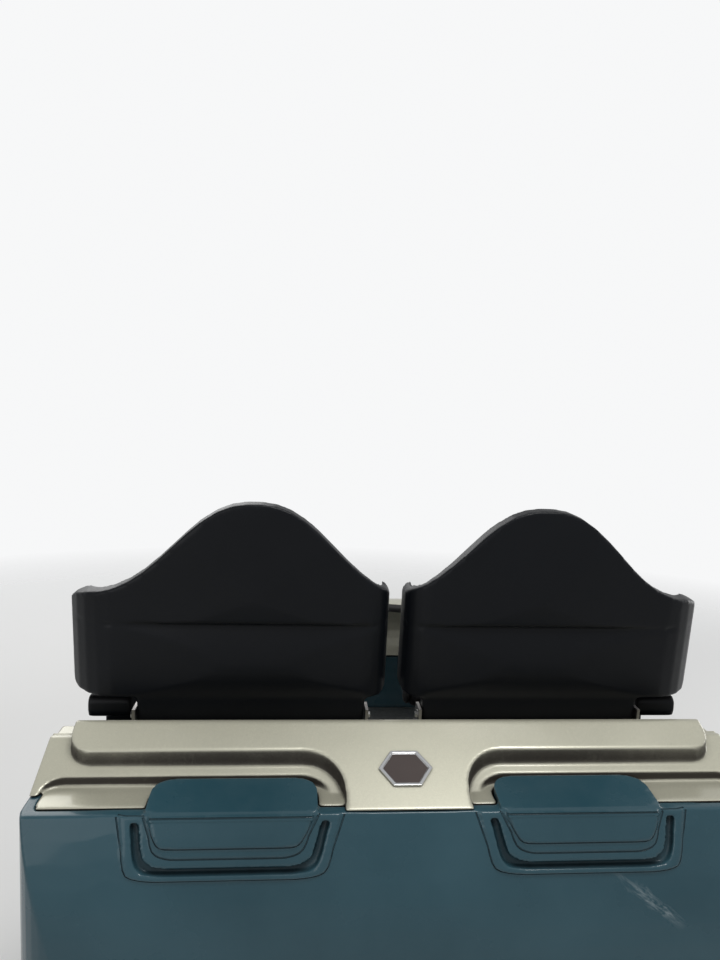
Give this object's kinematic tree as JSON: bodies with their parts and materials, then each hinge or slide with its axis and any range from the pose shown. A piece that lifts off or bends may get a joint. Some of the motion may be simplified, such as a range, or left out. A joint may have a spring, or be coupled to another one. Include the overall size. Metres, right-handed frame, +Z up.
{
  "type": "roller coaster car",
  "caption": "Two-seat roller coaster car with bell-backed seats, lap bars, a stepped rear deck and steered axles whose wheels grip a tubular rail from above, beside and below.",
  "frame": {"origin": "middle of the overall box on the floor, under the lowest wheels", "axes": "+Y to the nose, +X to the car's right, +Z up"},
  "size_m": [1.33, 1.89, 1.5683],
  "materials": {
    "teal_body": "glossy petrol-blue moulded plastic, scuffed low on the right",
    "gold_body": "champagne metallic moulded plastic, glossy",
    "shell": "dark blue-black glossy moulded plastic",
    "pad": "black padded vinyl, fine grain",
    "foam": "black skinned foam",
    "bar": "polished stainless tube",
    "badge": "bright six-sided plate, bare",
    "floor": "checkered aluminium floor, worn",
    "chassis_paint": "dark grey painted steel, chipped",
    "bare_steel": "bare worn steel",
    "pin_steel": "zinc-plated pins",
    "wheel": "amber polyurethane tread on an aluminium hub"
  },
  "bodies": {
    "car": {"chassis_beams": "chassis_paint", "cross_members": "chassis_paint", "floor_pan": "floor", "seat_riser": "shell", "step_plates": "floor", "side_panel_left": "teal_body", "side_panel_right": "teal_body", "nose_hood": "gold_body", "nose_fascia": "teal_body", "rear_deck": "gold_body", "rear_fascia": "teal_body", "rear_badge": "badge", "arm_rests": "shell", "seat_brackets": "bare_steel", "seat_shell_left": "shell", "seat_shell_right": "shell", "back_pad_left": "pad", "back_pad_right": "pad", "seat_cushion_left": "pad", "seat_cushion_right": "pad", "lap_bar_brackets": "chassis_paint", "front_coupler": "chassis_paint", "drawbar_hanger": "chassis_paint", "brake_fin": "bare_steel", "dog_hangers": "chassis_paint"},
    "restraint_left": {"lap_bar_left": "bar", "lap_foam_left": "foam"},
    "restraint_right": {"lap_bar_right": "bar", "lap_foam_right": "foam"},
    "tow_bar": {"drawbar": "chassis_paint"},
    "lift_dog": {"chain_dog": "bare_steel"},
    "stop_dog": {"rollback_dog": "bare_steel"},
    "bogie_front": {"axle_beam_front": "chassis_paint", "wheel_carriers_front": "chassis_paint", "wheel_pins_front": "pin_steel"},
    "turning_road_wheel_front_left": {"road_wheel_front_left": "wheel"},
    "turning_side_wheel_front_left": {"side_wheel_front_left": "wheel"},
    "turning_upstop_wheel_front_left": {"upstop_wheel_front_left": "wheel"},
    "turning_road_wheel_front_right": {"road_wheel_front_right": "wheel"},
    "turning_side_wheel_front_right": {"side_wheel_front_right": "wheel"},
    "turning_upstop_wheel_front_right": {"upstop_wheel_front_right": "wheel"},
    "bogie_rear": {"axle_beam_rear": "chassis_paint", "wheel_carriers_rear": "chassis_paint", "wheel_pins_rear": "pin_steel"},
    "turning_road_wheel_rear_left": {"road_wheel_rear_left": "wheel"},
    "turning_side_wheel_rear_left": {"side_wheel_rear_left": "wheel"},
    "turning_upstop_wheel_rear_left": {"upstop_wheel_rear_left": "wheel"},
    "turning_road_wheel_rear_right": {"road_wheel_rear_right": "wheel"},
    "turning_side_wheel_rear_right": {"side_wheel_rear_right": "wheel"},
    "turning_upstop_wheel_rear_right": {"upstop_wheel_rear_right": "wheel"}
  },
  "joints": [
    {"name": "restraint_left_lift", "type": "hinge", "parent": "car", "child": "restraint_left", "pos_m": [-0.292, 0.22, 0.6], "axis": [-1, 0, 0], "range_deg": [0, 40]},
    {"name": "restraint_right_lift", "type": "hinge", "parent": "car", "child": "restraint_right", "pos_m": [0.292, 0.22, 0.6], "axis": [-1, 0, 0], "range_deg": [0, 40]},
    {"name": "tow_bar_yaw", "type": "hinge", "parent": "car", "child": "tow_bar", "pos_m": [0, -0.705, 0.372], "axis": [0, 0, 1], "range_deg": [-20, 20]},
    {"name": "lift_dog_swing", "type": "hinge", "parent": "car", "child": "lift_dog", "pos_m": [0, 0.29, 0.381], "axis": [-1, 0, 0], "range_deg": [0, 35]},
    {"name": "stop_dog_swing", "type": "hinge", "parent": "car", "child": "stop_dog", "pos_m": [0.11, 0.29, 0.381], "axis": [-1, 0, 0], "range_deg": [0, 30]},
    {"name": "bogie_front_steer", "type": "hinge", "parent": "car", "child": "bogie_front", "pos_m": [0, 0.53, 0.3595], "axis": [0, 0, 1], "range_deg": [-6, 6]},
    {"name": "road_wheel_front_left_spin", "type": "hinge", "parent": "bogie_front", "child": "turning_road_wheel_front_left", "pos_m": [-0.45, 0.53, 0.378], "axis": [1, 0, 0], "continuous": true},
    {"name": "side_wheel_front_left_spin", "type": "hinge", "parent": "bogie_front", "child": "turning_side_wheel_front_left", "pos_m": [-0.576, 0.68, 0.203], "axis": [0, 0, 1], "continuous": true},
    {"name": "upstop_wheel_front_left_spin", "type": "hinge", "parent": "bogie_front", "child": "turning_upstop_wheel_front_left", "pos_m": [-0.45, 0.53, 0.075], "axis": [1, 0, 0], "continuous": true},
    {"name": "road_wheel_front_right_spin", "type": "hinge", "parent": "bogie_front", "child": "turning_road_wheel_front_right", "pos_m": [0.45, 0.53, 0.378], "axis": [1, 0, 0], "continuous": true},
    {"name": "side_wheel_front_right_spin", "type": "hinge", "parent": "bogie_front", "child": "turning_side_wheel_front_right", "pos_m": [0.576, 0.68, 0.203], "axis": [0, 0, 1], "continuous": true},
    {"name": "upstop_wheel_front_right_spin", "type": "hinge", "parent": "bogie_front", "child": "turning_upstop_wheel_front_right", "pos_m": [0.45, 0.53, 0.075], "axis": [1, 0, 0], "continuous": true},
    {"name": "bogie_rear_steer", "type": "hinge", "parent": "car", "child": "bogie_rear", "pos_m": [0, -0.53, 0.3595], "axis": [0, 0, 1], "range_deg": [-6, 6]},
    {"name": "road_wheel_rear_left_spin", "type": "hinge", "parent": "bogie_rear", "child": "turning_road_wheel_rear_left", "pos_m": [-0.45, -0.53, 0.378], "axis": [1, 0, 0], "continuous": true},
    {"name": "side_wheel_rear_left_spin", "type": "hinge", "parent": "bogie_rear", "child": "turning_side_wheel_rear_left", "pos_m": [-0.576, -0.38, 0.203], "axis": [0, 0, 1], "continuous": true},
    {"name": "upstop_wheel_rear_left_spin", "type": "hinge", "parent": "bogie_rear", "child": "turning_upstop_wheel_rear_left", "pos_m": [-0.45, -0.53, 0.075], "axis": [1, 0, 0], "continuous": true},
    {"name": "road_wheel_rear_right_spin", "type": "hinge", "parent": "bogie_rear", "child": "turning_road_wheel_rear_right", "pos_m": [0.45, -0.53, 0.378], "axis": [1, 0, 0], "continuous": true},
    {"name": "side_wheel_rear_right_spin", "type": "hinge", "parent": "bogie_rear", "child": "turning_side_wheel_rear_right", "pos_m": [0.576, -0.38, 0.203], "axis": [0, 0, 1], "continuous": true},
    {"name": "upstop_wheel_rear_right_spin", "type": "hinge", "parent": "bogie_rear", "child": "turning_upstop_wheel_rear_right", "pos_m": [0.45, -0.53, 0.075], "axis": [1, 0, 0], "continuous": true}
  ]
}
